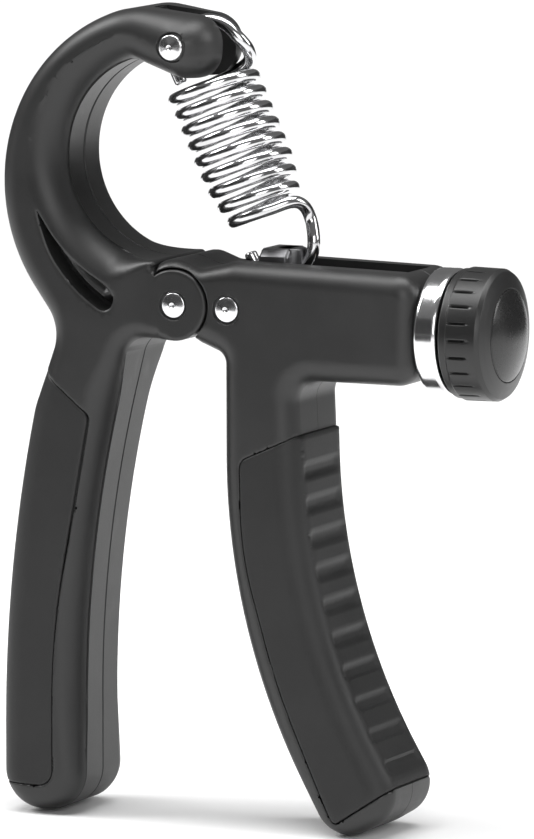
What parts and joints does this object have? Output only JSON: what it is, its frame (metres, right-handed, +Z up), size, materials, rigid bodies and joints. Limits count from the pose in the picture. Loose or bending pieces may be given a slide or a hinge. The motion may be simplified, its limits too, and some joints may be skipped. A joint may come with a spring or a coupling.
{
  "type": "hand grip strengthener",
  "caption": "Hand grip exerciser: two black pivoting handles, a curved arm holding a bright coil spring, and a side knob that shifts the spring's lower end to set resistance.",
  "frame": {"origin": "middle of the palm grip, at mid thickness", "axes": "+X from the palm grip to the finger grip and the knob, +Y to the back, +Z up towards the curved arm"},
  "size_m": [0.1054, 0.0256, 0.1578],
  "materials": {
    "shell_plastic": "fine grained black moulded nylon",
    "grip_rubber": "soft black rubber, matt",
    "knob_plastic": "black moulded plastic, satin",
    "cap_plastic": "black moulded plastic, half gloss",
    "washer_plastic": "pale low friction plastic",
    "spring_steel": "bright plated spring wire",
    "rivet_steel": "bright plated, domed",
    "ring_chrome": "polished plating",
    "plate_steel": "zinc plated steel",
    "screw_steel": "zinc plated steel, lightly greased",
    "bush_brass": "turned brass"
  },
  "bodies": {
    "palm_lever": {"palm_front_shell": "shell_plastic", "palm_back_shell": "shell_plastic", "palm_grip_pad": "grip_rubber", "palm_shell_screws": "screw_steel", "spring_pin": "rivet_steel", "pin_sleeve": "rivet_steel", "pivot_pin": "rivet_steel", "pivot_washers": "washer_plastic", "spring": "spring_steel"},
    "finger_lever": {"finger_front_shell": "shell_plastic", "finger_back_shell": "shell_plastic", "finger_grip_pad": "grip_rubber", "finger_shell_screws": "screw_steel", "hinge_plate": "plate_steel", "tongue_rivet": "rivet_steel", "pivot_bush": "bush_brass", "screw_bush": "bush_brass", "collar_ring": "ring_chrome", "thrust_washer": "washer_plastic"},
    "adjuster_knob": {"lead_screw": "screw_steel", "circlip": "screw_steel", "knob_body": "knob_plastic", "knob_nut": "screw_steel", "knob_cap": "cap_plastic"},
    "spring_carriage": {"carriage_block": "plate_steel", "carriage_insert": "bush_brass"}
  },
  "joints": [
    {"name": "squeeze", "type": "hinge", "parent": "palm_lever", "child": "finger_lever", "pos_m": [0.028, 0, 0.055], "axis": [0, 1, 0], "range_deg": [0, 22], "stiffness_Nm_per_rad": 8, "springref_deg": -20.05, "deforming": ["spring"]},
    {"name": "knob_turn", "type": "hinge", "parent": "finger_lever", "child": "adjuster_knob", "pos_m": [0.088, 0, 0.0512], "axis": [-1, 0, 0], "range_deg": [0, 3960]},
    {"name": "carriage_slide", "type": "slide", "parent": "finger_lever", "child": "spring_carriage", "axis": [1, 0, 0], "range_m": [0, 0.022], "deforming": ["spring"]}
  ],
  "couplings": [
    {"joint": "knob_turn", "follows": "carriage_slide", "rad_per_m": 3141.6}
  ]
}
